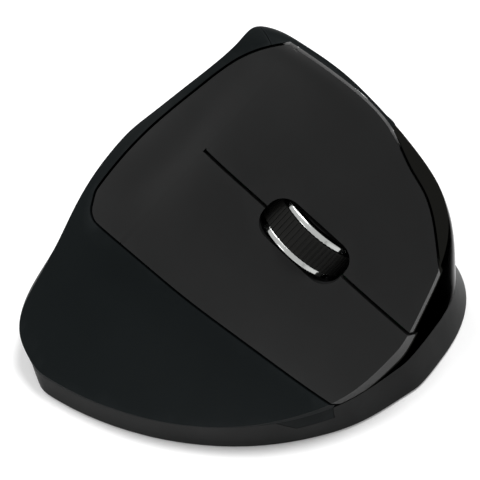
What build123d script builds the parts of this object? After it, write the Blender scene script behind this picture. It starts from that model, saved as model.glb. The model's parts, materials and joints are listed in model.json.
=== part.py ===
from build123d import *
import math
import os

import numpy

# A right-handed, wireless vertical mouse. X runs towards the little finger, Y towards the front and Z up.
# The origin is the middle of the footprint, on the surface that the mouse stands on.

# Overall size
length = 90.0
width = 83.0
height = 68.0
half_length = length / 2
half_width = width / 2

# Shells and their clearances
wall = 1.8
floor_wall = 2.0
foot_proud = 0.7
seam_gap = 0.12
panel_gap = 0.55
slit_gap = 0.8
flex_gap = 0.3
run_gap = 0.35
seat_gap = 0.1
pin_gap = 0.05
overrun = 20.0

# Finger side: heights, as shares of the height, at stations along the length and across the width
station_shares = (-1.0, -0.667, -0.333, 0.0, 0.333, 0.667, 1.0)
column_shares = (-0.578, -0.108, 0.373, 0.675, 1.012)
height_shares = (
    (0.515, 0.765, 0.978, 1.010, 0.937, 0.782, 0.588),
    (0.412, 0.588, 0.699, 0.632, 0.526, 0.426, 0.301),
    (0.353, 0.426, 0.371, 0.304, 0.254, 0.196, 0.125),
    (0.235, 0.272, 0.232, 0.191, 0.151, 0.122, 0.081),
    (0.103, 0.103, 0.096, 0.088, 0.074, 0.059, 0.044),
)
crest_roll_radius = 2.8
crest_roll_width = 3.05
skin_rows = 13
skin_columns = 41
skin_margin_share = 0.12

# Seam between the lower case and the shells above it, a plane that rises towards the front
seam_height = 7.2
seam_rise = 2.6

# Plan outlines at rising heights: right, left, front and rear reach, then where the right, left, front
# and rear reaches lie, as shares of the half sizes, then the roundness of the four quarters, from the
# front right one round to the rear right one
case_level_shares = (1.0, -1.0, 1.0, -1.0, -0.44, 0.44, -0.337, -0.35), (1.93, 2.6, 2.0, 1.83)
seam_level_shares = (0.985, -0.904, 0.933, -0.96, -0.48, 0.40, -0.337, -0.33), (2.1, 3.0, 2.0, 1.95)
wall_level_shares = (
    (0.25, ((0.955, -0.825, 0.934, -0.80, -0.36, 0.367, -0.262, -0.193), (2.1, 3.6, 2.1, 3.4))),
    (0.41, ((0.86, -0.755, 0.929, -0.757, -0.24, 0.33, -0.193, -0.096), (2.1, 4.2, 2.1, 2.5))),
    (0.676, ((0.723, -0.675, 0.889, -0.59, -0.13, 0.22, -0.145, 0.0), (1.95, 4.0, 2.4, 2.3))),
    (0.853, ((0.578, -0.635, 0.756, -0.385, -0.07, 0.11, -0.145, -0.193), (1.95, 3.6, 4.2, 2.3))),
    (1.06, ((0.434, -0.627, 0.533, -0.255, 0.0, 0.044, -0.193, -0.289), (1.95, 2.8, 5.0, 2.3))),
)
quarter_points = 9
outline_points = 13
corner_reach = 4.0

# Finger panel, keys and the slit between them, as plan shares of the half sizes
slit_rear_shares = (-0.096, -0.236)
slit_front_shares = (-0.098, 0.933)
palm_front_share = 0.313
panel_right_shares = (
    (0.300, 1.04), (0.345, 0.69), (0.356, 0.3), (0.356, -0.06), (0.350, -0.42), (0.335, -0.62)
)
panel_rear_shares = ((0.226, -0.655), (-0.090, -0.560), (-0.295, -0.385), (-0.443, -0.245))
ridge_shares = ((-0.573, -0.062), (-0.578, 0.22), (-0.573, 0.50))
front_edge_shares = ((-0.524, 0.647), (-0.508, 0.73), (-0.436, 0.849), (-0.385, 0.902), (-0.28, 1.04))
panel_corner_radius = 3.6
left_skirt = 1.9
right_skirt = 4.2
trim_start_share = 0.50
palm_tab_depth = 3.4
skin_tab_share = 0.60
rear_seam_turn = 60.0

# Scroll wheel
wheel_radius = 11.0
wheel_proud = 2.5
wheel_width = 8.5
tread_width = 5.6
tread_depth = 1.5
tread_ribs = 60
tread_rib_depth = 0.35
rim_height = 2.2
wheel_bore_radius = 1.5
slot_length = 21.4
slot_width = 10.3
slot_corner_share = 0.42
wheel_place_share = 0.49
arm_gap = 0.45
arm_thickness = 1.6
arm_top = 3.0
arm_bottom = 3.0
pivot_reach = 14.0
click_reach = 14.4
bar_depth = 2.8
bar_height = 1.9
pivot_radius = 1.2
bracket_thickness = 1.8
bracket_length = 4.4
encoder_thickness = 3.6
encoder_size = 6.6
axle_in_encoder = 2.4
fit_gap = 0.03

# Boards and switches
board_thickness = 1.6
button_board_depth = 12.4
button_board_half = 12.8
button_board_front = 18.0
button_board_rear = 22.0
board_window_gap = 0.9
frame_thickness = 1.6
frame_sides = (8.5, 10.5)
frame_rear = 28.0
leg_width = 3.6
leg_shares = ((-0.47, -0.06), (-0.217, 0.0), (-0.41, -0.24), (-0.193, -0.42))
post_radius = 2.4
post_places = ((-5.0, -25.0), (7.0, -25.0))
key_switch_length = 12.8
key_switch_width = 5.8
key_switch_height = 6.5
key_switch_place = (9.4, 11.0)
plunger_size = (1.3, 2.4)
plunger_proud = 0.9
plunger_sunk = 1.5
pusher_width = 3.0
pusher_gap = 0.15
tact_size = 6.0
tact_height = 2.2
tact_plunger_radius = 1.5
tact_proud = 0.6
tact_sunk = 1.2
key_travel = 0.3
wheel_travel = 0.5
thumb_travel = 0.4

# Thumb buttons
thumb_length = 12.0
thumb_height = 6.4
thumb_gap = 0.5
thumb_proud = 1.3
thumb_corner_radius = 2.0
thumb_seat = 2.4
thumb_drop = 8.1
thumb_middle_share = 0.21
thumb_slope_span = 6.0
side_board_thickness = 0.8
side_board_top = -0.4
side_board_bottom = 5.5
side_tact_size = 3.6
side_tact_height = 1.5
side_tact_drop = 2.3
side_plunger_radius = 1.0
side_plunger_proud = 0.4
side_plunger_sunk = 0.7
bracket_width = 7.0
bracket_wall = 1.6
bracket_drop = 2.0

# Underside and its contents
battery_radius = 5.2
battery_length = 44.0
battery_nub_radius = 1.9
battery_nub = 0.9
battery_pitch = 11.2
battery_middle_share = (0.193, -0.142)
battery_lift = 0.8
bay_wall = 1.2
bay_height = 6.0
contact_space = 4.0
contact_thickness = 0.4
contact_size = 8.0
spring_wire_radius = 0.35
spring_radius = 2.6
spring_turns = 4
door_thickness = 1.3
door_gap = 0.3
door_knuckle_radius = 0.95
door_pin_radius = 0.6
door_pin_length = 1.0
sensor_place_share = (-0.289, 0.575)
lens_size = (17.0, 9.0)
lens_window = (11.0, 6.4)
main_board_size = (20.5, 26.0)
main_board_shift = (-3.1, -2.4)
main_board_lift = 3.0
chip_size = (12.0, 9.6, 2.4)
led_size = (3.0, 3.4, 2.6)
radio_size = (6.0, 6.0, 1.0)
power_place_share = (-0.51, 0.33)
power_travel = 2.6
power_knob = (3.2, 5.0)
power_knob_proud = 0.3
power_stem = 1.4
power_body = (5.0, 9.0, 1.7)
receiver_place_share = (-0.318, -0.389)
receiver_body = (15.0, 6.8, 6.2)
receiver_plug = (12.0, 12.0, 4.5)
receiver_gap = 0.35
foot_share = ((0.66, 0.27), (0.675, -0.55), (-0.72, -0.31), (-0.60, 0.78))
foot_size = (10.0, 5.0)
foot_radius = 2.2
screw_share = ((0.675, -0.40), (0.68, 0.10), (-0.735, -0.16), (-0.70, 0.62))
screw_head_radius = 2.0
screw_head = 1.2
screw_radius = 0.9
screw_length = 7.0
boss_radius = 2.6


def natural_spline(places, values):
    """The natural cubic spline through values at places, carried on straight past its ends."""
    places = numpy.array(places, dtype=float)
    values = numpy.array(values, dtype=float)
    count = len(places)
    steps = numpy.diff(places)
    slopes = numpy.diff(values) / steps
    system = numpy.eye(count)
    known = numpy.zeros(count)
    for i in range(1, count - 1):
        system[i, i - 1] = steps[i - 1]
        system[i, i] = 2 * (steps[i - 1] + steps[i])
        system[i, i + 1] = steps[i]
        known[i] = 6 * (slopes[i] - slopes[i - 1])
    bend = numpy.linalg.solve(system, known)

    def slope_at_end(i, j):
        step = places[j] - places[i]
        return (values[j] - values[i]) / step - step * (2 * bend[i] + bend[j]) / 6

    def value(at):
        if at <= places[0]:
            return values[0] + (at - places[0]) * slope_at_end(0, 1)
        if at >= places[-1]:
            return values[-1] + (at - places[-1]) * slope_at_end(count - 1, count - 2)
        i = int(numpy.searchsorted(places, at)) - 1
        step = steps[i]
        before = places[i + 1] - at
        after = at - places[i]
        curve = bend[i] * before**3 + bend[i + 1] * after**3
        line_before = values[i] / step - bend[i] * step / 6
        line_after = values[i + 1] / step - bend[i + 1] * step / 6
        return curve / (6 * step) + line_before * before + line_after * after

    return value


# Finger side surface
column_x = [share * half_width for share in column_shares]
column_curves = [
    natural_spline([share * half_length for share in station_shares], [share * height for share in shares])
    for shares in height_shares
]
crest_x = column_x[0]
roll_start_x = crest_x + crest_roll_width


def skin_height(x, y):
    """Height of the finger side above a plan point, with the roll over the crest."""
    across = natural_spline(column_x, [curve(y) for curve in column_curves])
    past = max(roll_start_x - x, 0)
    rolled = min(past, 2 * crest_roll_width)
    return across(x) - (rolled**2 / 2 + (past - rolled) * rolled) / crest_roll_radius


def skin_point(x, y):
    return Vector(x, y, skin_height(x, y))


def skin_normal(x, y):
    step = wall / 10
    along_x = skin_point(x + step, y) - skin_point(x - step, y)
    along_y = skin_point(x, y + step) - skin_point(x, y - step)
    return along_x.cross(along_y).normalized()


def spread(start, end, count):
    return [start + (end - start) * i / (count - 1) for i in range(count)]


margin_x = skin_margin_share * half_width
margin_y = skin_margin_share * half_length
skin_y = spread(-half_length - margin_y, half_length + margin_y, skin_rows)
skin_x = spread(-half_width - margin_x, half_width + margin_x, skin_columns)


def skin_section(y, depth):
    """A cross-section of everything under the finger side, lowered so that the layer above is depth thick."""
    base = -height
    top = [Vector(x, y, skin_height(x, y) - depth / skin_normal(x, y).Z) for x in skin_x]
    low_left, low_right = Vector(skin_x[0], y, base), Vector(skin_x[-1], y, base)
    curve = Edge.make_spline(top, parameters=spread(0, 1, skin_columns))
    sides = (
        Edge.make_line(top[-1], low_right),
        Edge.make_line(low_right, low_left),
        Edge.make_line(low_left, top[0]),
    )
    return Wire([curve, *sides])


def under_skin(depth):
    return Solid.make_loft([skin_section(y, depth) for y in skin_y])


def seam_z(y):
    return seam_height + seam_rise * y / half_length


def quarter(corner, reach_x, reach_y, roundness, backwards):
    """One quarter of an outline, as points of a rounded curve between two of its reaches."""
    points = []
    for i in range(quarter_points):
        turn = math.pi / 2 * i / (quarter_points - 1)
        along_x = math.cos(turn) ** (2 / roundness) if i < quarter_points - 1 else 0
        along_y = math.sin(turn) ** (2 / roundness) if i else 0
        x = corner[0] + (reach_x - corner[0]) * along_x
        y = corner[1] + (reach_y - corner[1]) * along_y
        points.append((x, y))
    return points[::-1] if backwards else points


def outline(level, inset, place_z):
    """A plan outline as a wire of four curved edges; place_z gives each point's height."""
    reaches, roundness = level
    right, left, front, rear, right_y, left_y, front_x, rear_x = reaches
    right = right * half_width - inset
    left = left * half_width + inset
    front = front * half_length - inset
    rear = rear * half_length + inset
    right_y, left_y = right_y * half_length, left_y * half_length
    front_x, rear_x = front_x * half_width, rear_x * half_width
    quarters = (
        (quarter((front_x, right_y), right, front, roundness[0], False), (0, 1), (-1, 0)),
        (quarter((front_x, left_y), left, front, roundness[1], True), (-1, 0), (0, -1)),
        (quarter((rear_x, left_y), left, rear, roundness[2], False), (0, -1), (1, 0)),
        (quarter((rear_x, right_y), right, rear, roundness[3], True), (1, 0), (0, 1)),
    )
    rise = place_z(1) - place_z(0)
    edges = []
    for points, first, last in quarters:
        placed = [Vector(x, y, place_z(y)) for x, y in points]
        ends = [Vector(x, y, rise * y) for x, y in (first, last)]
        edges.append(Edge.make_spline(placed, tangents=ends))
    return Wire(edges)


def level_wires(inset, lowest):
    wires = [outline(seam_level_shares, inset, lambda y: seam_z(y) - lowest)]
    for share, level in wall_level_shares:
        wires.append(outline(level, inset, lambda y, z=share * height: z))
    return wires


def hull(inset, lowest):
    """The side walls, from a plane that lies lowest below the seam to above the crest."""
    return Solid.make_loft(level_wires(inset, lowest))


def body(inset, lowest=0.0):
    return hull(inset, lowest) & under_skin(inset)


def lower_body(inset, bottom):
    wires = [outline(case_level_shares, inset, lambda y: bottom), outline(seam_level_shares, inset, seam_z)]
    return Solid.make_loft(wires, ruled=True)


def block(low, high):
    """A box between two corners."""
    size = [h - l for l, h in zip(low, high)]
    middle = [(h + l) / 2 for l, h in zip(low, high)]
    return Pos(*middle) * Box(*size)


def rod(radius, start, end):
    """A round rod between two points."""
    start, end = Vector(*start), Vector(*end)
    plane = Plane(origin=start, z_dir=end - start)
    return Solid.make_cylinder(radius, (end - start).length, plane)


def beyond(origin, direction):
    """The half space on the side of a plane that direction points to, as a large block."""
    reach = length + width + overrun
    plane = Plane(origin=Vector(*origin), z_dir=Vector(*direction))
    return plane.location * block((-reach, -reach, 0), (reach, reach, reach))


# Panel frame: its x runs down the slope, its y along the slit to the front and its z out of the panel
slit_rear = (slit_rear_shares[0] * half_width, slit_rear_shares[1] * half_length)
slit_front = (slit_front_shares[0] * half_width, slit_front_shares[1] * half_length)
slit_direction = (skin_point(*slit_front) - skin_point(*slit_rear)).normalized()
wheel_plan = [r + (f - r) * wheel_place_share for r, f in zip(slit_rear, slit_front)]
wheel_normal = skin_normal(*wheel_plan)
panel_x = slit_direction.cross(wheel_normal).normalized()
panel_z = panel_x.cross(slit_direction).normalized()
panel_plane = Plane(origin=skin_point(*wheel_plan), x_dir=panel_x, z_dir=panel_z)


def on_panel(x, y):
    """Where a plan point of the skin lies in the panel frame, seen along its z."""
    place = panel_plane.to_local_coords(skin_point(x, y))
    return Vector(place.X, place.Y, 0)


def in_panel(shape):
    return panel_plane.location * shape


def largest(shape):
    """The main solid of a shape, without the slivers that a cut leaves."""
    return max(shape.solids(), key=lambda solid: solid.volume)


def write(name, shape):
    solids = shape.solids()
    export_step(Compound(children=list(solids)) if len(solids) > 1 else solids[0], f"parts/{name}.step")


flex_y = on_panel(*slit_rear).Y
press_depth = overrun / 2
floor_top = foot_proud + floor_wall


def plain_edge(edge):
    """An edge as a line, an arc or a spline, whatever it was made from."""
    if edge.geom_type in (GeomType.LINE, GeomType.CIRCLE):
        return edge
    points = [edge @ share for share in spread(0, 1, outline_points)]
    return Edge.make_spline(points, tangents=(edge % 0, edge % 1))


def panel_region(growth):
    """A prism along the panel's z that holds the finger panel, with its outline grown."""
    right = [on_panel(x * half_width, y * half_length) for x, y in panel_right_shares]
    rear = [on_panel(x * half_width, y * half_length) for x, y in panel_rear_shares]
    ridge = [on_panel(x * half_width, y * half_length) for x, y in ridge_shares]
    right_edge = Edge.make_spline(right)
    front = [on_panel(x * half_width, y * half_length) for x, y in front_edge_shares]
    rear_edge = Edge.make_spline([*rear, ridge[0]])
    ridge_edge = Edge.make_spline([*ridge, *front])
    joint = Edge.make_line(right[-1], rear[0])
    close = Edge.make_line(front[-1], right[0])
    face = Face(Wire([right_edge, joint, rear_edge, ridge_edge, close]))
    corners = [v for v in face.vertices() if (v.center() - (right[-1] + rear[0]) / 2).length < corner_reach]
    face = face.fillet_2d(panel_corner_radius, corners)
    if growth:
        grown_face = offset(face, growth).faces()[0]
        face = Face(Wire([plain_edge(edge) for edge in grown_face.outer_wire().edges()]))
    return in_panel(extrude(face, press_depth, both=True))


def front_travel():
    """How far the front of a key moves when its switch clicks."""
    return key_travel * (on_panel(*slit_front).Y - flex_y) / (key_switch_place[1] - flex_y)


# Outer shells
def half_panel(side, start, end):
    """The half of the panel region on one side of the slit, between two places along it."""
    near = side * slit_gap / 2
    low, high = sorted((near, side * length))
    return in_panel(block((low, start, -press_depth), (high, end, press_depth)))


def shell_pieces():
    """The thin shells above the seam: panel, keys, palm shell, thumb shell and front trim."""
    skins = {depth: under_skin(depth) for depth in (left_skirt, right_skirt)}
    trim_gap = front_travel() + run_gap
    below_seam = beyond((0, 0, seam_height + seam_gap), (0, seam_rise / half_length, -1))
    shell = body(0) - body(wall, overrun / 2) - below_seam
    above_case = (0, 0, seam_height + seam_gap + trim_gap)
    below_keys = beyond(above_case, (0, seam_rise / half_length, -1))
    region = panel_region(0)
    wide = panel_region(panel_gap)
    slot_face = RectangleRounded(slot_width, slot_length, slot_width * slot_corner_share)
    slot = in_panel(extrude(slot_face, press_depth, both=True))
    skirts = {-1: left_skirt, 1: right_skirt}
    keys = {}
    opening = []
    for side, skirt in skirts.items():
        top = ((shell - skins[skirt]) & region) - below_keys
        keys[side] = (top & half_panel(side, flex_y + flex_gap / 2, length)) - slot
        low, high = sorted((0, side * length))
        reach = in_panel(block((low, flex_y, -press_depth), (high, length, press_depth)))
        opening.append((wide & reach) - under_skin(skirt + trim_gap))
    rear = in_panel(block((-width, -length, -press_depth), (width, flex_y - flex_gap / 2, press_depth)))
    panel = (shell - skins[left_skirt]) & region & rear
    reach = in_panel(block((-width, -length, -press_depth), (width, flex_y, press_depth)))
    opening.append((wide & reach) - under_skin(left_skirt + seat_gap))
    rest = shell - opening[0] - opening[1] - opening[2]
    return panel, keys[-1], keys[1], rest


def split_rest(rest):
    """The palm shell, the thumb shell and the front trim, cut from what surrounds the panel."""
    trim_y = trim_start_share * half_length
    palm_x = palm_front_share * half_width
    turn = math.radians(rear_seam_turn)
    apex = (ridge_shares[0][0] * half_width, ridge_shares[0][1] * half_length - 2 * crest_roll_width, 0)
    to_thumb = (-math.sin(turn), math.cos(turn), 0)
    half = seam_gap / 2
    shift = [a + t * half for a, t in zip(apex, to_thumb)]
    back_shift = [a - t * half for a, t in zip(apex, to_thumb)]
    front = beyond((0, trim_y + half, 0), (0, 1, 0))
    behind = beyond((0, trim_y - half, 0), (0, -1, 0))
    trim = (rest & front) - beyond((palm_x - half, 0, 0), (1, 0, 0))
    thumb = rest & behind & beyond(shift, to_thumb)
    trim_zone = block((-width, trim_y - half, -height), (palm_x + half, length, 2 * height))
    palm = rest - beyond(back_shift, to_thumb) - trim_zone
    return palm, thumb, trim


def pushers(side):
    """The post under a key that presses its switch, rising into the key's skin."""
    x, y = side * key_switch_place[0], key_switch_place[1]
    half = pusher_width / 2
    low = plunger_top() + pusher_gap
    return in_panel(block((x - half, y - half, low), (x + half, y + half, press_depth)))


# Heights in the panel frame
def plunger_top():
    return key_switch_height + plunger_proud - button_board_depth


wheel_z = wheel_proud - wheel_radius
arm_inner = wheel_width / 2 + arm_gap
arm_outer = arm_inner + arm_thickness


def screw_points():
    return [(x * half_width, y * half_length) for x, y in screw_share]


def boss(point):
    """A screw boss that hangs from a shell down to the floor, with its screw hole."""
    x, y = point
    column = rod(boss_radius, (x, y, floor_top), (x, y, height))
    return column, rod(screw_radius + pin_gap, (x, y, floor_top - overrun), (x, y, floor_top + screw_length))


def add_bosses(shell_piece, points, core):
    for point in points:
        column, hole = boss(point)
        shell_piece = (shell_piece + (column & core)) - hole
    return shell_piece


# Thumb buttons
thumb_y = thumb_middle_share * half_length
thumb_rise = (
    skin_height(crest_x, thumb_y + thumb_slope_span) - skin_height(crest_x, thumb_y - thumb_slope_span)
) / (2 * thumb_slope_span)
thumb_wall_x = wall_level_shares[3][1][0][1] * half_width
thumb_plane = Plane(
    origin=(thumb_wall_x, thumb_y, skin_height(crest_x, thumb_y) - thumb_drop),
    x_dir=(0, 1, thumb_rise),
    z_dir=(-1, 0, 0),
)
thumb_x = (thumb_length + thumb_gap) / 2


def in_thumb(shape):
    return thumb_plane.location * shape


def thumb_prism(side, growth, low, high):
    face = RectangleRounded(
        thumb_length + 2 * growth, thumb_height + 2 * growth, thumb_corner_radius + growth
    )
    return in_thumb(Pos(side * thumb_x, 0, low) * extrude(face, high - low))


def thumb_button(side):
    return thumb_prism(side, 0, -thumb_seat, overrun / 2) & hull(-thumb_proud, 0)


def thumb_parts():
    """The small board behind the thumb buttons, its switches and their plungers."""
    face_z = -thumb_seat - pusher_gap
    body_top = face_z - side_plunger_proud
    board_top = body_top - side_tact_height
    reach = thumb_length - thumb_gap
    board = in_thumb(
        block(
            (-reach, -side_board_top, board_top - side_board_thickness),
            (reach, side_board_bottom, board_top),
        )
    )
    half = side_tact_size / 2
    switches = []
    plungers = {}
    for side in (-1, 1):
        x = side * thumb_x
        low = (x - half, side_tact_drop - half, board_top)
        high = (x + half, side_tact_drop + half, body_top)
        well_bottom = (x, side_tact_drop, board_top + fit_gap)
        well = rod(side_plunger_radius + pin_gap, well_bottom, (x, side_tact_drop, 0))
        switches.append(in_thumb(block(low, high) - well))
        bottom = body_top - side_plunger_sunk
        stem = rod(side_plunger_radius, (x, side_tact_drop, bottom), (x, side_tact_drop, face_z))
        plungers[side] = in_thumb(stem)
    return board, switches, plungers


# Wheel, its carrier and the switches under the keys
def along_x(radius, start, end, y=0.0, z=None):
    z = wheel_z if z is None else z
    return rod(radius, (start, y, z), (end, y, z))


def wheel_parts():
    half = wheel_width / 2
    tread_half = tread_width / 2
    core_radius = wheel_radius - tread_depth
    rim_radius = wheel_radius - tread_rib_depth
    hub = along_x(core_radius - fit_gap, -tread_half, tread_half)
    hub += along_x(rim_radius - rim_height - fit_gap, -half, half)
    hub += along_x(wheel_bore_radius, -arm_outer - axle_in_encoder, arm_outer - pin_gap)
    tread = along_x(wheel_radius, -tread_half + fit_gap, tread_half - fit_gap)
    tread -= along_x(core_radius, -half, half)
    ribs = []
    groove = math.pi * wheel_radius / tread_ribs
    for i in range(tread_ribs):
        cut = Pos(0, wheel_radius, 0) * Box(wheel_width, tread_rib_depth, groove)
        ribs.append(Pos(0, 0, wheel_z) * Rot(360 * i / tread_ribs, 0, 0) * cut)
    tread -= ribs
    rims = {}
    for side in (-1, 1):
        ring = along_x(rim_radius, side * tread_half, side * half)
        ring -= along_x(rim_radius - rim_height, -half, half)
        edges = ring.edges().filter_by(GeomType.CIRCLE).sort_by(SortBy.RADIUS)[-2:]
        rims[side] = fillet(edges, tread_rib_depth)
    return hub, tread, rims


def cradle():
    """The carrier that holds the wheel, pivots at its rear and presses a switch at its front."""
    front = click_reach + bar_depth / 2
    rear = -pivot_reach - pivot_radius - pin_gap
    piece = None
    for side in (-1, 1):
        low, high = sorted((side * arm_inner, side * arm_outer))
        arm = block((low, rear, wheel_z - arm_bottom), (high, front, wheel_z + arm_top))
        arm += along_x(pivot_radius, side * arm_inner, side * (arm_outer + bracket_thickness), -pivot_reach)
        piece = arm if piece is None else piece + arm
    bar_low = tact_top() + pusher_gap
    piece += block((-arm_outer, front - bar_depth, bar_low), (arm_outer, front, bar_low + bar_height))
    rear_low = wheel_z - arm_bottom
    piece += block((-arm_outer, rear, rear_low), (arm_outer, rear + 2 * pivot_radius, wheel_z + arm_top))
    piece -= along_x(wheel_bore_radius + pin_gap, -arm_outer, arm_outer)
    return piece


def encoder():
    half = encoder_size / 2
    case = block((-arm_outer - encoder_thickness, -half, wheel_z - half), (-arm_outer, half, wheel_z + half))
    return case - along_x(wheel_bore_radius + pin_gap, -arm_outer - axle_in_encoder - pin_gap, -arm_outer)


def tact_top():
    return tact_height + tact_proud - button_board_depth


def click_switch():
    half = tact_size / 2
    top = tact_height - button_board_depth
    case = block((-half, click_reach - half, -button_board_depth), (half, click_reach + half, top))
    well = (0, click_reach, top - tact_sunk - wheel_travel - pin_gap)
    case -= rod(tact_plunger_radius + pin_gap, well, (0, click_reach, top + pin_gap))
    plunger = rod(tact_plunger_radius, (0, click_reach, top - tact_sunk), (0, click_reach, tact_top()))
    return case, plunger


def key_switch(side):
    x, y = side * key_switch_place[0], key_switch_place[1]
    half_x, half_y = key_switch_width / 2, key_switch_length / 2
    top = key_switch_height - button_board_depth
    case = block((x - half_x, y - half_y, -button_board_depth), (x + half_x, y + half_y, top))
    stem_x, stem_y = [size / 2 for size in plunger_size]
    well_x, well_y = stem_x + pin_gap, stem_y + pin_gap
    bottom = top - plunger_sunk
    well_low = (x - well_x, y - well_y, bottom - key_travel - pin_gap)
    case -= block(well_low, (x + well_x, y + well_y, top + pin_gap))
    return case, block((x - stem_x, y - stem_y, bottom), (x + stem_x, y + stem_y, plunger_top()))


def brackets():
    """The pair of ears on the board that the wheel carrier pivots in."""
    ears = []
    half = bracket_length / 2
    for side in (-1, 1):
        low, high = sorted((side * (arm_outer + run_gap), side * (arm_outer + bracket_thickness)))
        top = wheel_z + half
        ear = block((low, -pivot_reach - half, -button_board_depth), (high, -pivot_reach + half, top))
        ears.append(ear - along_x(pivot_radius + pin_gap, -width, width, -pivot_reach))
    return ears


def wheel_window():
    half = arm_inner + board_window_gap / 2
    reach = wheel_radius
    return block((-half, -reach, -wheel_radius - button_board_depth), (half, reach, 0))


def frame_column():
    """The upright on the frame that the side board is fixed to."""
    board_back = thumb_wall_x + thumb_seat + pusher_gap + side_plunger_proud + side_tact_height
    board_back += side_board_thickness + seat_gap
    top = thumb_plane.origin.Z - bracket_drop
    rear = thumb_y - bracket_width - bracket_width / 2
    return block((board_back, rear, 0), (board_back + bracket_wall, rear + bracket_width, top))


def grown(low_high, gap):
    box = low_high.bounding_box()
    low = (box.min.X - gap, box.min.Y - gap, box.min.Z)
    high = (box.max.X + gap, box.max.Y + gap, box.max.Z + gap)
    return block(low, high)


def button_board():
    bottom = -button_board_depth - board_thickness
    plate = block(
        (-button_board_half, -button_board_rear, bottom),
        (button_board_half, button_board_front, -button_board_depth),
    )
    return in_panel(plate - wheel_window()) - grown(frame_column(), run_gap)


def inner_frame(core):
    """The sloping frame that carries the button board, with its legs, posts and side upright."""
    top = -button_board_depth - board_thickness - seat_gap
    bottom = top - frame_thickness
    plate = block((-frame_sides[0], -frame_rear, bottom), (frame_sides[1], button_board_front, top))
    piece = in_panel(plate - wheel_window())
    origin = panel_plane.from_local_coords(Vector(0, 0, bottom + frame_thickness / 2))
    below = beyond(origin, -panel_z)
    above = beyond(origin, panel_z)
    half = leg_width / 2
    for x_share, y_share in leg_shares:
        x, y = x_share * half_width, y_share * half_length
        foot = floor_top if y > pocket_front else receiver_high + receiver_gap + bay_wall
        piece += block((x - half, y - half, foot), (x + half, y + half, height)) & below
    piece += frame_column() & above
    for x, y in post_places:
        piece += in_panel(rod(post_radius, (x, y, top - frame_thickness / 2), (x, y, press_depth))) & core
    return piece


# Underside
battery_x = battery_middle_share[0] * half_width
battery_y = battery_middle_share[1] * half_length
battery_front = battery_y + battery_length / 2
battery_rear = battery_y - battery_length / 2
bay_half = battery_pitch / 2 + battery_radius + door_gap
bay_front = battery_front + battery_nub + seat_gap + contact_thickness
bay_rear = battery_rear - contact_space
battery_z = foot_proud + door_thickness + battery_lift + battery_radius
hinge_y = bay_front - door_knuckle_radius - door_gap
hinge_z = foot_proud + door_knuckle_radius
sensor_x = sensor_place_share[0] * half_width
sensor_y = sensor_place_share[1] * half_length
main_board_z = floor_top + main_board_lift
power_x = power_place_share[0] * half_width
power_y = power_place_share[1] * half_length
receiver_x = receiver_place_share[0] * half_width
receiver_y = receiver_place_share[1] * half_length
receiver_half_x = receiver_body[0] / 2
receiver_half_y = (receiver_body[1] + receiver_plug[1]) / 2
receiver_low = foot_proud + seat_gap
receiver_high = receiver_low + receiver_body[2]
pocket_front = receiver_y + receiver_half_y + receiver_gap + bay_wall


def door():
    low_x, high_x = battery_x - bay_half + door_gap, battery_x + bay_half - door_gap
    plate = block((low_x, bay_rear + door_gap, foot_proud), (high_x, hinge_y, foot_proud + door_thickness))
    knuckle = rod(door_knuckle_radius, (low_x, hinge_y, hinge_z), (high_x, hinge_y, hinge_z))
    reach = door_gap + door_pin_length
    pin = rod(door_pin_radius, (low_x - reach, hinge_y, hinge_z), (high_x + reach, hinge_y, hinge_z))
    return plate + knuckle + pin


def batteries():
    cells = []
    for side, turn in ((-1, 1), (1, 1)):
        x = battery_x + side * battery_pitch / 2
        cell = rod(battery_radius, (x, battery_rear, battery_z), (x, battery_front, battery_z))
        nub = (x, battery_front + battery_nub, battery_z)
        cells.append(cell + rod(battery_nub_radius, (x, battery_front, battery_z), nub))
    return cells


def contacts():
    """Flat contacts at the front of the bay and coil springs on flat contacts at its rear."""
    plates = []
    springs = []
    half = contact_size / 2
    for side in (-1, 1):
        x = battery_x + side * battery_pitch / 2
        for start in (bay_front - contact_thickness, bay_rear):
            low = (x - half, start, battery_z - half)
            plates.append(block(low, (x + half, start + contact_thickness, battery_z + half)))
        room = contact_space - contact_thickness - 2 * spring_wire_radius - 2 * fit_gap
        path = Helix(room / spring_turns, room, spring_radius)
        section = Plane(origin=path @ 0, z_dir=path % 0) * Circle(spring_wire_radius)
        coil = sweep(section, path, is_frenet=True)
        start = bay_rear + contact_thickness + spring_wire_radius + fit_gap
        springs.append(Pos(x, start, battery_z) * Rot(-90, 0, 0) * coil)
    return plates, springs


def receiver():
    front = receiver_y + receiver_half_y
    split = front - receiver_plug[1]
    rear = receiver_y - receiver_half_y
    middle = (receiver_low + receiver_high) / 2
    cap = block(
        (receiver_x - receiver_half_x, rear, receiver_low),
        (receiver_x + receiver_half_x, split, receiver_high),
    )
    half_x, half_z = receiver_plug[0] / 2, receiver_plug[2] / 2
    plug = block((receiver_x - half_x, split, middle - half_z), (receiver_x + half_x, front, middle + half_z))
    hollow = contact_thickness
    tongue = block(
        (receiver_x - half_x + hollow, split + contact_size / 2, middle),
        (receiver_x + half_x - hollow, front + hollow, middle + half_z - hollow),
    )
    return cap, plug - tongue


def ring_wall(low, high, thickness, top):
    outer_low = (low[0] - thickness, low[1] - thickness, foot_proud)
    outer = block(outer_low, (high[0] + thickness, high[1] + thickness, top))
    return outer, block((low[0], low[1], foot_proud - overrun), (high[0], high[1], height))


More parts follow.
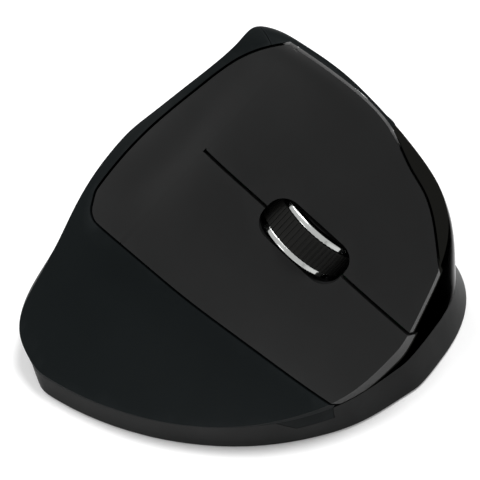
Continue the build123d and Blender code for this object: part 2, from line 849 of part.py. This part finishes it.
def lower_case():
    """The tray: floor, sloping band, battery bay, receiver pocket, board posts and screw holes."""
    tray = lower_body(0, foot_proud)
    room = lower_body(wall, foot_proud) & beyond((0, 0, floor_top), (0, 0, 1))
    tray -= room
    bay_low = (battery_x - bay_half, bay_rear)
    bay_high = (battery_x + bay_half, bay_front)
    bay_outer, bay_inner = ring_wall(bay_low, bay_high, bay_wall, floor_top + bay_height)
    pocket_low = (receiver_x - receiver_half_x - receiver_gap, receiver_y - receiver_half_y - receiver_gap)
    pocket_high = (receiver_x + receiver_half_x + receiver_gap, receiver_y + receiver_half_y + receiver_gap)
    roof = receiver_high + receiver_gap
    pocket_outer, pocket_inner = ring_wall(pocket_low, pocket_high, bay_wall, roof + bay_wall)
    pocket_inner &= beyond((0, 0, roof), (0, 0, -1))
    tray += bay_outer + pocket_outer
    tray = tray - bay_inner - pocket_inner
    pin_reach = bay_half + door_pin_length
    tray -= rod(
        door_pin_radius + pin_gap,
        (battery_x - pin_reach, hinge_y, hinge_z),
        (battery_x + pin_reach, hinge_y, hinge_z),
    )
    for x, y in board_posts():
        tray += rod(boss_radius, (x, y, floor_top - floor_wall / 2), (x, y, main_board_z))
        tray -= rod(screw_radius + pin_gap, (x, y, floor_top), (x, y, main_board_z + overrun))
    half_x, half_y = lens_window[0] / 2 + seat_gap, lens_window[1] / 2 + seat_gap
    tray -= block(
        (sensor_x - half_x, sensor_y - half_y, foot_proud - overrun),
        (sensor_x + half_x, sensor_y + half_y, floor_top),
    )
    half_x = power_knob[0] / 2 + run_gap
    half_y = power_knob[1] / 2 + power_travel / 2 + run_gap
    tray -= block(
        (power_x - half_x, power_y - half_y, foot_proud - overrun),
        (power_x + half_x, power_y + half_y, floor_top),
    )
    for x, y in screw_points():
        tray -= rod(screw_radius + run_gap, (x, y, 0), (x, y, floor_top))
        head_top = foot_proud + seat_gap + screw_head + fit_gap
        tray -= rod(screw_head_radius + run_gap, (x, y, 0), (x, y, head_top))
    return tray


def board_posts():
    reach_x = main_board_size[0] / 2 - boss_radius
    reach_y = main_board_size[1] / 2 - boss_radius
    x, y = main_board_middle()
    return [(x - reach_x, y + reach_y), (x + reach_x, y - reach_y)]


def main_board_middle():
    return (sensor_x + main_board_shift[0], sensor_y + main_board_shift[1])


def screw(x, y, low, head_first):
    """A screw standing at low, its head below its shank, or above it for the board screws."""
    if head_first:
        head = rod(screw_head_radius, (x, y, low), (x, y, low + screw_head))
        return head + rod(screw_radius, (x, y, low), (x, y, low + screw_length))
    head = rod(screw_head_radius, (x, y, low), (x, y, low + screw_head))
    return head + rod(screw_radius, (x, y, low - main_board_lift / 2 - board_thickness), (x, y, low))


def main_board_parts():
    x, y = main_board_middle()
    half_x, half_y = main_board_size[0] / 2, main_board_size[1] / 2
    top = main_board_z + board_thickness
    plate = block((x - half_x, y - half_y, main_board_z), (x + half_x, y + half_y, top))
    eye_x, eye_y = led_size[0] / 2, led_size[1] / 2
    plate -= block((sensor_x - eye_x, sensor_y - eye_y, 0), (sensor_x + eye_x, sensor_y + eye_y, height))
    for post_x, post_y in board_posts():
        plate -= rod(screw_radius + run_gap, (post_x, post_y, 0), (post_x, post_y, height))
    chip_x, chip_y = chip_size[0] / 2, chip_size[1] / 2
    chip_low = (sensor_x - chip_x, sensor_y - chip_y, top)
    chip = block(chip_low, (sensor_x + chip_x, sensor_y + chip_y, top + chip_size[2]))
    led_start = sensor_x - chip_x - run_gap - led_size[0]
    led_high = (led_start + led_size[0], sensor_y + eye_y, top + led_size[2])
    led = block((led_start, sensor_y - eye_y, top), led_high)
    radio_front = sensor_y - chip_y - run_gap
    radio_half = radio_size[0] / 2
    radio = block(
        (sensor_x - radio_half, radio_front - radio_size[1], top),
        (sensor_x + radio_half, radio_front, top + radio_size[2]),
    )
    return plate, chip, led, radio


def lens():
    window_x, window_y = lens_window[0] / 2, lens_window[1] / 2
    flange_x, flange_y = lens_size[0] / 2, lens_size[1] / 2
    flange = block(
        (sensor_x - flange_x, sensor_y - flange_y, floor_top),
        (sensor_x + flange_x, sensor_y + flange_y, main_board_z - seat_gap),
    )
    low = foot_proud + power_knob_proud
    window_low = (sensor_x - window_x, sensor_y - window_y, low)
    window = block(window_low, (sensor_x + window_x, sensor_y + window_y, floor_top))
    return flange + window


def power_switch():
    half_x, half_y, tall = power_body[0] / 2, power_body[1] / 2, power_body[2]
    top = main_board_z - fit_gap
    case = block((power_x - half_x, power_y - half_y, top - tall), (power_x + half_x, power_y + half_y, top))
    stem = power_stem / 2
    slot_y = stem + power_travel / 2 + run_gap
    sunk = tall / 2
    case -= block(
        (power_x - stem - pin_gap, power_y - slot_y, 0),
        (power_x + stem + pin_gap, power_y + slot_y, top - tall + sunk + run_gap),
    )
    knob_x, knob_y = power_knob[0] / 2, power_knob[1] / 2
    start = power_y - power_travel / 2
    knob_top = top - tall - run_gap
    knob = block(
        (power_x - knob_x, start - knob_y, foot_proud - power_knob_proud),
        (power_x + knob_x, start + knob_y, knob_top),
    )
    knob += block((power_x - stem, start - stem, knob_top), (power_x + stem, start + stem, top - tall + sunk))
    return case, knob


def feet():
    pads = []
    for x, y in foot_share:
        face = RectangleRounded(foot_size[0], foot_size[1], foot_radius)
        pads.append(Pos(x * half_width, y * half_length, 0) * extrude(face, foot_proud))
    return pads


def write_all():
    os.makedirs("parts", exist_ok=True)
    panel, left_key, right_key, rest = shell_pieces()
    palm, thumb, trim = split_rest(rest)
    core = body(wall / 2, overrun / 2)
    points = screw_points()
    palm = add_bosses(palm, points[:2], core)
    thumb = add_bosses(thumb, points[2:3], core)
    trim = add_bosses(trim, points[3:], core)
    for side in (-1, 1):
        thumb -= thumb_prism(side, run_gap, -overrun / 2, overrun / 2)
    tab_y = on_tab_start()
    tab_low = (palm_front_share * half_width + seam_gap / 2, tab_y)
    band = lower_body(0, foot_proud) - lower_body(wall, foot_proud)
    tray = lower_case()
    tab_zone = block((tab_low[0], tab_low[1], 0), (width, length, height))
    tab_floor = beyond((0, 0, seam_height - palm_tab_depth), (0, -seam_rise / half_length, 1))
    tab_floor &= beyond((0, tab_y, seam_z(tab_y)), (0, 1, 1))
    rim = body(0) - body(wall, overrun / 2)
    rim_top = beyond((0, 0, seam_height + wall), (0, -seam_rise / half_length, 1))
    palm += (band & tab_zone & tab_floor) + ((rim & tab_zone) - rim_top)
    gap_zone = block((tab_low[0] - seam_gap, tab_low[1] - seam_gap, 0), (width, length, height))
    gap_floor = beyond((0, 0, seam_height - palm_tab_depth - seam_gap), (0, -seam_rise / half_length, 1))
    gap_floor &= beyond((0, tab_y - seam_gap, seam_z(tab_y) - seam_gap), (0, 1, 1))
    tray -= gap_zone & gap_floor
    palm, thumb, trim = largest(palm), largest(thumb), largest(trim)
    write("lower_case", tray)
    write("palm_shell", palm)
    write("thumb_shell", thumb)
    write("front_trim", trim)
    write("rear_panel", panel)
    write("left_key", left_key + (pushers(-1) & core))
    write("right_key", right_key + (pushers(1) & core))
    write("back_button", thumb_button(-1))
    write("forward_button", thumb_button(1))

    board, switches, plungers = thumb_parts()
    write("side_board", board)
    write("back_switch", switches[0])
    write("forward_switch", switches[1])
    write("back_plunger", plungers[-1])
    write("forward_plunger", plungers[1])

    hub, tread, rims = wheel_parts()
    write("wheel_hub", in_panel(hub))
    write("wheel_tread", in_panel(tread))
    write("wheel_rim_left", in_panel(rims[-1]))
    write("wheel_rim_right", in_panel(rims[1]))
    write("wheel_carrier", in_panel(cradle()))
    write("scroll_encoder", in_panel(encoder()))
    write("carrier_brackets", Compound(children=[in_panel(ear) for ear in brackets()]))
    case, plunger = click_switch()
    write("wheel_switch", in_panel(case))
    write("wheel_plunger", in_panel(plunger))
    for side, name in ((-1, "left"), (1, "right")):
        case, plunger = key_switch(side)
        write(f"{name}_switch", in_panel(case))
        write(f"{name}_plunger", in_panel(plunger))
    write("button_board", button_board())
    write("inner_frame", inner_frame(body(wall + seat_gap, overrun / 2)))

    write("battery_door", door())
    write("batteries", Compound(children=batteries()))
    plates, springs = contacts()
    write("battery_contacts", Compound(children=plates))
    write("battery_springs", Compound(children=springs))
    cap, plug = receiver()
    write("receiver_cap", cap)
    write("receiver_plug", plug)
    plate, chip, led, radio = main_board_parts()
    write("main_board", plate)
    write("sensor_chip", chip)
    write("sensor_led", led)
    write("radio_chip", radio)
    write("sensor_lens", lens())
    case, knob = power_switch()
    write("power_switch", case)
    write("power_knob", knob)
    write("feet", Compound(children=feet()))
    case_screws = [screw(x, y, foot_proud + seat_gap, True) for x, y in points]
    write("case_screws", Compound(children=case_screws))
    top = main_board_z + board_thickness
    write("board_screws", Compound(children=[screw(x, y, top, False) for x, y in board_posts()]))


def on_tab_start():
    return skin_tab_share * half_length


write_all()
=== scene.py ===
import json
import math

import bmesh
import bpy
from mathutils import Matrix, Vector
from mathutils.bvhtree import BVHTree


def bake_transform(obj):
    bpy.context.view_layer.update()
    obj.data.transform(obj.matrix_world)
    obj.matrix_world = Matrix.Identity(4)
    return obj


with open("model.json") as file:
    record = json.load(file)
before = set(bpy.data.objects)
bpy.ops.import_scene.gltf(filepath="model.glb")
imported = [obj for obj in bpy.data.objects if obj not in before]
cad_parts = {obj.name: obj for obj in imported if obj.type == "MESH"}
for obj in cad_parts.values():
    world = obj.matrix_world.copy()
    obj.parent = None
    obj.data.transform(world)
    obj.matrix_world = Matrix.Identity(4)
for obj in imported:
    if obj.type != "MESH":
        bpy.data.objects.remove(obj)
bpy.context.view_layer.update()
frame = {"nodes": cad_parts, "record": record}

# Camera, in the direction that the object is seen from
MM = 0.001
IMAGE_PIXELS = 480
PIXELS_PER_MM = 4.7
SENSOR_WIDTH = 36.0
CAMERA_DISTANCE = 450.0
CAMERA_TARGET = Vector((0.5, 1.9, 30.0))
CAMERA_AZIMUTH = 125.0
CAMERA_ELEVATION = 55.0
CLIP_START = 10.0


def direction(azimuth, elevation):
    """The unit vector from the object towards a place at these angles, in degrees."""
    a = math.radians(azimuth)
    e = math.radians(elevation)
    return Vector((math.sin(a) * math.cos(e), -math.cos(a) * math.cos(e), math.sin(e)))


def look(obj, place, target):
    """Put an object at a place and turn it to face the target."""
    obj.location = place
    obj.rotation_euler = (target - place).to_track_quat("-Z", "Y").to_euler()


camera_data = bpy.data.cameras.new("camera")
camera = bpy.data.objects.new("camera", camera_data)
bpy.context.scene.collection.objects.link(camera)
bpy.context.scene.camera = camera
camera_data.sensor_width = SENSOR_WIDTH
camera_data.lens = SENSOR_WIDTH * PIXELS_PER_MM * CAMERA_DISTANCE / IMAGE_PIXELS
target = CAMERA_TARGET * MM
look(camera, target + direction(CAMERA_AZIMUTH, CAMERA_ELEVATION) * CAMERA_DISTANCE * MM, target)
camera_data.clip_start = CLIP_START * MM
bpy.context.scene.view_settings.view_transform = "Standard"

# Noise in the materials: scales per metre of the object, detail in octaves
DRIFT_SCALE = 38.0
DRIFT_DETAIL = 3.0
DRIFT_ROUGHNESS = 0.55
DRIFT_DARKEST = 0.3
DRIFT_LIGHTEST = 0.7
PATCH_SCALE = 90.0
PATCH_DETAIL = 4.0
PATCH_ROUGHNESS = 0.6
GRAIN_DETAIL = 2.0
GRAIN_ROUGHNESS = 0.5
GRAIN_STRENGTH = 0.6
LOWEST_ROUGHNESS = 0.02

# Wear on edges: the pointiness where it starts and is full, and how much lighter it is
WEAR_START = 0.53
WEAR_FULL = 0.62
WEAR_SCALE = 600.0
WEAR_DETAIL = 2.0
WEAR_GAIN = 3
WEAR_LIFT = 0.02

# Clear plastic and lacquer
CLEAR_TRANSMISSION = 0.85
CLEAR_IOR = 1.49
LACQUER_EDGE_TINT = (0.1, 0.1, 0.1, 1)

# Circuit board
MASK_COLOUR = (0.01, 0.07, 0.03)
MASK_LIGHT_COLOUR = (0.012, 0.085, 0.035)
TRACE_COLOUR = (0.03, 0.16, 0.07)
TRACE_SCALE = 260.0
TRACE_WIDTH = 0.03

# Floor and world
WHITE = (1, 1, 1, 1)
FLOOR_SIZE = 3.0
FLOOR_COLOUR = (0.86, 0.86, 0.86, 1)
FLOOR_GLOW = 0.12
WORLD_LIGHT = 0.28
WORLD_SEEN = 1.0
LAMP_AIM = Vector((0, 0, 30.0)) * MM


class Nodes:
    """A small helper that adds and links shader nodes."""

    def __init__(self, tree):
        self.tree = tree
        tree.nodes.clear()

    def add(self, kind, **values):
        """A new node. Each value sets one of its properties, or else the input of that name."""
        node = self.tree.nodes.new(kind)
        for key, value in values.items():
            if hasattr(node, key):
                setattr(node, key, value)
            else:
                node.inputs[key.replace("_", " ")].default_value = value
        return node

    def link(self, start, end):
        self.tree.links.new(start, end)


def principled(material):
    """The material's main shader."""
    return next(n for n in material.node_tree.nodes if n.type == "BSDF_PRINCIPLED")


def worn(n, place, colour, colour_out, wear):
    """A lighter, scratched colour on the edges, mixed over another."""
    geometry = n.add("ShaderNodeNewGeometry")
    edge = n.add("ShaderNodeMapRange", clamp=True)
    edge.inputs["From Min"].default_value = WEAR_START
    edge.inputs["From Max"].default_value = WEAR_FULL
    n.link(geometry.outputs["Pointiness"], edge.inputs["Value"])
    scratch = n.add("ShaderNodeTexNoise", Scale=WEAR_SCALE, Detail=WEAR_DETAIL)
    n.link(place.outputs["Object"], scratch.inputs["Vector"])
    scratched = n.add("ShaderNodeMath", operation="MULTIPLY")
    n.link(edge.outputs["Result"], scratched.inputs[0])
    n.link(scratch.outputs["Fac"], scratched.inputs[1])
    amount = n.add("ShaderNodeMath", operation="MULTIPLY")
    amount.inputs[1].default_value = wear
    n.link(scratched.outputs[0], amount.inputs[0])
    mix = n.add("ShaderNodeMix", data_type="RGBA")
    mix.inputs["B"].default_value = (*[min(c * WEAR_GAIN + WEAR_LIFT, 1) for c in colour], 1)
    n.link(amount.outputs[0], mix.inputs["Factor"])
    n.link(colour_out, mix.inputs["A"])
    return mix.outputs["Result"]


def grained(name, colour, roughness, grain=0.25, depth=0.02, mottle=0.12, wear=0.0, metallic=0.0,
            specular=0.5, smudge=0.08):
    """Moulded plastic, rubber or metal: fine grain, slow colour drift, uneven gloss and worn edges.

    Grain and depth are the width and height of the grain in millimetres.
    """
    material = bpy.data.materials.new(name)
    material.use_nodes = True
    n = Nodes(material.node_tree)
    out = n.add("ShaderNodeOutputMaterial")
    shader = n.add("ShaderNodeBsdfPrincipled")
    shader.inputs["Metallic"].default_value = metallic
    shader.inputs["Specular IOR Level"].default_value = specular
    place = n.add("ShaderNodeTexCoord")
    drift = n.add("ShaderNodeTexNoise", Scale=DRIFT_SCALE, Detail=DRIFT_DETAIL, Roughness=DRIFT_ROUGHNESS)
    n.link(place.outputs["Object"], drift.inputs["Vector"])
    ramp = n.add("ShaderNodeValToRGB")
    darkest, lightest = ramp.color_ramp.elements
    darkest.position = DRIFT_DARKEST
    lightest.position = DRIFT_LIGHTEST
    darkest.color = (*[c * (1 - mottle) for c in colour], 1)
    lightest.color = (*[c * (1 + mottle) for c in colour], 1)
    n.link(drift.outputs["Fac"], ramp.inputs["Fac"])
    colour_out = ramp.outputs["Color"]
    if wear:
        colour_out = worn(n, place, colour, colour_out, wear)
    n.link(colour_out, shader.inputs["Base Color"])
    patches = n.add("ShaderNodeTexNoise", Scale=PATCH_SCALE, Detail=PATCH_DETAIL, Roughness=PATCH_ROUGHNESS)
    n.link(place.outputs["Object"], patches.inputs["Vector"])
    gloss = n.add("ShaderNodeMapRange")
    gloss.inputs["To Min"].default_value = max(roughness - smudge, LOWEST_ROUGHNESS)
    gloss.inputs["To Max"].default_value = min(roughness + smudge, 1.0)
    n.link(patches.outputs["Fac"], gloss.inputs["Value"])
    n.link(gloss.outputs["Result"], shader.inputs["Roughness"])
    if depth:
        fine = n.add("ShaderNodeTexNoise", Scale=1 / (grain * MM), Detail=GRAIN_DETAIL,
                     Roughness=GRAIN_ROUGHNESS)
        n.link(place.outputs["Object"], fine.inputs["Vector"])
        bump = n.add("ShaderNodeBump", Strength=GRAIN_STRENGTH, Distance=depth * MM)
        n.link(fine.outputs["Fac"], bump.inputs["Height"])
        n.link(bump.outputs["Normal"], shader.inputs["Normal"])
    n.link(shader.outputs["BSDF"], out.inputs["Surface"])
    return material


def clear(name, colour, roughness):
    """Clear moulded plastic with faint clouding."""
    material = grained(name, colour, roughness, depth=0.0, mottle=0.04)
    shader = principled(material)
    shader.inputs["Transmission Weight"].default_value = CLEAR_TRANSMISSION
    shader.inputs["IOR"].default_value = CLEAR_IOR
    return material


def gloss_black(name, colour, roughness):
    """Deep black lacquered plastic that mirrors little, also at a flat angle."""
    material = grained(name, colour, roughness, grain=0.5, depth=0.001, mottle=0.05, metallic=1.0,
                       smudge=0.03)
    principled(material).inputs["Specular Tint"].default_value = LACQUER_EDGE_TINT
    return material


def circuit_board(name, roughness):
    """Green solder mask with fine copper traces under it."""
    material = grained(name, MASK_COLOUR, roughness, grain=0.4, depth=0.01)
    tree = material.node_tree
    place = tree.nodes.new("ShaderNodeTexCoord")
    traces = tree.nodes.new("ShaderNodeTexBrick")
    traces.inputs["Scale"].default_value = TRACE_SCALE
    traces.inputs["Color1"].default_value = (*MASK_COLOUR, 1)
    traces.inputs["Color2"].default_value = (*MASK_LIGHT_COLOUR, 1)
    traces.inputs["Mortar"].default_value = (*TRACE_COLOUR, 1)
    traces.inputs["Mortar Size"].default_value = TRACE_WIDTH
    tree.links.new(place.outputs["Object"], traces.inputs["Vector"])
    tree.links.new(traces.outputs["Color"], principled(material).inputs["Base Color"])
    return material


# One look for each material slot of the record: its function and that function's values
LOOKS = {
    "panel_plastic": (grained, dict(colour=(0.0092, 0.0094, 0.0094), roughness=0.38, grain=0.22, depth=0.012,
                                    wear=0.08, specular=0.10)),
    "side_plastic": (grained, dict(colour=(0.0034, 0.0046, 0.0049), roughness=0.55, grain=0.3, depth=0.025,
                                   wear=0.3, specular=0.04)),
    "base_plastic": (grained, dict(colour=(0.0052, 0.0056, 0.0056), roughness=0.40, grain=0.26, depth=0.016,
                                   wear=0.3, specular=0.06)),
    "gloss_trim": (gloss_black, dict(colour=(0.010, 0.010, 0.009), roughness=0.12)),
    "button_plastic": (grained, dict(colour=(0.005, 0.005, 0.0055), roughness=0.25, grain=0.3, depth=0.004,
                                     wear=0.2, specular=0.25)),
    "inner_plastic": (grained, dict(colour=(0.012, 0.012, 0.0125), roughness=0.55, grain=0.4, depth=0.02,
                                    specular=0.3)),
    "tread_rubber": (grained, dict(colour=(0.0065, 0.0065, 0.006), roughness=0.7, grain=0.35, depth=0.03,
                                   mottle=0.2, specular=0.1)),
    "rim_chrome": (grained, dict(colour=(0.44, 0.45, 0.44), roughness=0.12, grain=0.5, depth=0.002,
                                 metallic=1.0, mottle=0.03, smudge=0.03)),
    "board": (circuit_board, dict(roughness=0.35)),
    "switch_plastic": (grained, dict(colour=(0.015, 0.015, 0.016), roughness=0.45, grain=0.3, depth=0.01)),
    "plunger_plastic": (grained, dict(colour=(0.5, 0.5, 0.47), roughness=0.4, grain=0.3, depth=0.006)),
    "clear_lens": (clear, dict(colour=(0.9, 0.92, 0.95), roughness=0.08)),
    "steel": (grained, dict(colour=(0.55, 0.55, 0.54), roughness=0.3, grain=0.2, depth=0.004, metallic=1.0,
                            mottle=0.06)),
    "cell_wrap": (grained, dict(colour=(0.03, 0.09, 0.2), roughness=0.25, grain=0.6, depth=0.002)),
}
looks = {name: make(name, **values) for name, (make, values) in LOOKS.items()}

for subpart in frame["record"]["subparts"]:
    node = frame["nodes"][subpart["node"]]
    node.data.materials.clear()
    node.data.materials.append(looks[subpart["material_slot"]])


def seen_rays(n):
    """One for the rays that show the background: camera, transmission and glossy rays."""
    rays = n.add("ShaderNodeLightPath")
    direct = n.add("ShaderNodeMath", operation="MAXIMUM")
    mirrored = n.add("ShaderNodeMath", operation="MAXIMUM")
    n.link(rays.outputs["Is Camera Ray"], direct.inputs[0])
    n.link(rays.outputs["Is Transmission Ray"], direct.inputs[1])
    n.link(direct.outputs[0], mirrored.inputs[0])
    n.link(rays.outputs["Is Glossy Ray"], mirrored.inputs[1])
    return mirrored.outputs[0]


def pale_floor():
    """A matt floor with a faint glow that only seen rays meet, so that it reads as white."""
    bpy.ops.mesh.primitive_plane_add(size=FLOOR_SIZE)
    floor = bpy.context.object
    floor.name = "floor"
    material = bpy.data.materials.new("floor")
    material.use_nodes = True
    n = Nodes(material.node_tree)
    out = n.add("ShaderNodeOutputMaterial")
    matt = n.add("ShaderNodeBsdfDiffuse", Color=FLOOR_COLOUR)
    glow = n.add("ShaderNodeEmission", Color=WHITE)
    both = n.add("ShaderNodeAddShader")
    strength = n.add("ShaderNodeMath", operation="MULTIPLY")
    strength.inputs[1].default_value = FLOOR_GLOW
    n.link(seen_rays(n), strength.inputs[0])
    n.link(strength.outputs[0], glow.inputs["Strength"])
    n.link(matt.outputs[0], both.inputs[0])
    n.link(glow.outputs[0], both.inputs[1])
    n.link(both.outputs[0], out.inputs["Surface"])
    floor.data.materials.append(material)


def soft_world():
    """A white surrounding that lights the object only softly."""
    world = bpy.data.worlds.new("world")
    bpy.context.scene.world = world
    world.use_nodes = True
    n = Nodes(world.node_tree)
    out = n.add("ShaderNodeOutputWorld")
    soft = n.add("ShaderNodeBackground", Color=WHITE, Strength=WORLD_LIGHT)
    seen = n.add("ShaderNodeBackground", Color=WHITE, Strength=WORLD_SEEN)
    mix = n.add("ShaderNodeMixShader")
    n.link(seen_rays(n), mix.inputs[0])
    n.link(soft.outputs[0], mix.inputs[1])
    n.link(seen.outputs[0], mix.inputs[2])
    n.link(mix.outputs[0], out.inputs["Surface"])


def lamp(name, azimuth, elevation, distance, size, power):
    """A round lamp that faces the middle of the object."""
    data = bpy.data.lights.new(name, "AREA")
    data.shape = "DISK"
    data.size = size
    data.energy = power
    obj = bpy.data.objects.new(name, data)
    bpy.context.scene.collection.objects.link(obj)
    look(obj, LAMP_AIM + direction(azimuth, elevation) * distance, LAMP_AIM)


pale_floor()
soft_world()
lamp("key_light", azimuth=262.0, elevation=77.0, distance=0.8, size=0.3, power=5.0)
lamp("side_light", azimuth=72.0, elevation=14.0, distance=0.9, size=0.3, power=1.1)
lamp("fill_light", azimuth=95.0, elevation=62.0, distance=0.9, size=0.45, power=0.9)
lamp("rear_light", azimuth=20.0, elevation=66.0, distance=0.9, size=0.5, power=3.2)

# The panel's own frame: down its slope, along the slit between the keys, and outward
joints = {joint["name"]: joint for joint in frame["record"]["behaviour"]["joints"]}
hinge = joints["left_key_press"]
hinge_place = Vector(hinge["pos_m"])
down_slope = Vector(hinge["axis"]).normalized()
outward = -Vector(joints["left_plunger_slide"]["axis"]).normalized()
along_slit = outward.cross(down_slope).normalized()

# Strips of the panel that close the gaps at the keys' hinges, where the real panel bends with the keys
STRIP_HALF = 0.55 * MM
STRIP_PROUD = 0.006 * MM
STRIP_ROWS = 7
STRIP_STEP = 0.2 * MM
STRIP_COLUMNS = 250
END_STEP = 0.1 * MM
END_COLUMNS = 24
END_JUMP = 0.6 * MM
RAY_HEIGHT = 30 * MM
END_REACH = 70 * MM
UPHILL = -1
DOWNHILL = 1


def surface_tree(name):
    """The surface of a CAD node, to cast rays at."""
    node = frame["nodes"][name]
    vertices = [node.matrix_world @ v.co for v in node.data.vertices]
    faces = [tuple(p.vertices) for p in node.data.polygons]
    return BVHTree.FromPolygons(vertices, faces)


def on_surface(tree, across, along):
    """The surface's point and normal at a place that is measured from the hinge, seen from outside."""
    start = hinge_place + down_slope * across + along_slit * along + outward * RAY_HEIGHT
    place, normal, _, _ = tree.ray_cast(start, -outward, 2 * RAY_HEIGHT)
    return place, normal


def on_end(tree, side, depth, along):
    """The surface's point and normal at its upper or lower end, at a depth below the hinge."""
    start = hinge_place + down_slope * (side * END_REACH) + along_slit * along - outward * depth
    place, normal, _, _ = tree.ray_cast(start, -side * down_slope, END_REACH)
    return place, normal


def strip_sides(rear_tree, key_tree, side, end_columns):
    """Pairs of points and normals, on the rear panel and on the key, from the slit to the panel's end."""
    pairs = []
    for step in range(STRIP_COLUMNS):
        across = side * step * STRIP_STEP
        rear = on_surface(rear_tree, across, -STRIP_HALF)
        key = on_surface(key_tree, across, STRIP_HALF)
        if rear[0] is not None and key[0] is not None:
            pairs.append((rear, key))
    top = (hinge_place - pairs[-1][0][0]).dot(outward)
    for step in range(1, end_columns):
        pair = (on_end(rear_tree, side, top + step * END_STEP, -STRIP_HALF),
                on_end(key_tree, side, top + step * END_STEP, STRIP_HALF))
        hit = all(place is not None for place, _ in pair)
        if hit and all((new[0] - old[0]).length < END_JUMP for new, old in zip(pair, pairs[-1])):
            pairs.append(pair)
    return pairs


def strip_column(bm, rear, key):
    """A row of vertices over the gap, tangent to the rear panel and to the key."""
    rear_place, rear_normal = rear
    key_place, key_normal = key
    rear_slope = along_slit - rear_normal * along_slit.dot(rear_normal)
    key_slope = along_slit - key_normal * along_slit.dot(key_normal)
    lift = (rear_normal + key_normal).normalized()
    span = (key_place - rear_place).length
    column = []
    for row in range(STRIP_ROWS):
        t = row / (STRIP_ROWS - 1)
        start = rear_place * (2 * t**3 - 3 * t**2 + 1) + rear_slope * span * (t**3 - 2 * t**2 + t)
        end = key_place * (3 * t**2 - 2 * t**3) + key_slope * span * (t**3 - t**2)
        proud = STRIP_PROUD * (math.sin(math.pi * t) + 1 / 2)
        column.append(bm.verts.new(start + end + lift * proud))
    return column


def strip_mesh(name, pairs):
    """A smooth sheet through the strip's columns, facing outward."""
    bm = bmesh.new()
    columns = [strip_column(bm, rear, key) for rear, key in pairs]
    for first, second in zip(columns, columns[1:]):
        for row in range(STRIP_ROWS - 1):
            bm.faces.new((first[row], second[row], second[row + 1], first[row + 1]))
    bmesh.ops.recalc_face_normals(bm, faces=bm.faces)
    bm.normal_update()
    if sum((f.normal for f in bm.faces), Vector()).dot(outward) < 0:
        bmesh.ops.reverse_faces(bm, faces=bm.faces)
    mesh = bpy.data.meshes.new(name)
    bm.to_mesh(mesh)
    bm.free()
    mesh.shade_smooth()
    return mesh


def key_strip(name, key, side, end_columns):
    """A strip flush with the rear panel and one key, over the gap between them and round its end."""
    pairs = strip_sides(surface_tree("rear_panel"), surface_tree(key), side, end_columns)
    piece = bpy.data.objects.new(name, strip_mesh(name, pairs))
    bpy.context.scene.collection.objects.link(piece)
    piece.data.materials.append(looks["panel_plastic"])
    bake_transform(piece)


key_strip("left_key_bridge", "left_key", UPHILL, END_COLUMNS)
key_strip("right_key_bridge", "right_key", DOWNHILL, 0)
